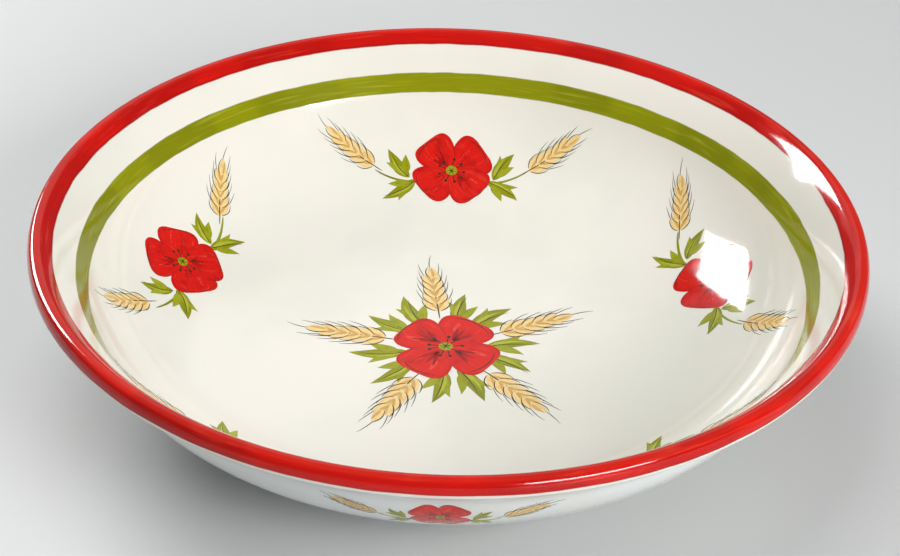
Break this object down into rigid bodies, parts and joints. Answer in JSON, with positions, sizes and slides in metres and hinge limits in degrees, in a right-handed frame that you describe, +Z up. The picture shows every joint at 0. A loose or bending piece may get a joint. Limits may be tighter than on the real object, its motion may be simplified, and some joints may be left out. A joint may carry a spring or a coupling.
{
  "type": "pasta serving bowl",
  "caption": "Wide, shallow round serving bowl of glazed clay with a flared wall, a thick rounded lip, a painted rim band and stripe, and a foot ring to stand on.",
  "frame": {"origin": "centre of the foot ring's standing face, on the surface that the bowl stands on", "axes": "+Z up along the axis that the bowl is turned about, and -Y towards the viewer"},
  "size_m": [0.34, 0.34, 0.0778],
  "materials": {
    "clay": "matt",
    "foot": "matt on the standing edge, glossy on the sides",
    "cream_glaze": "glossy",
    "green_stripe": "glossy",
    "red_rim": "glossy",
    "straw_paint": "glossy",
    "dark_line": "glossy",
    "pale_glaze": "glossy"
  },
  "bodies": {
    "root": {"clay_body": "clay", "foot_ring": "foot", "well_glaze": "cream_glaze", "green_stripe": "green_stripe", "border_glaze": "cream_glaze", "rim_band": "red_rim", "outside_glaze": "pale_glaze", "base_glaze": "pale_glaze"}
  },
  "joints": []
}
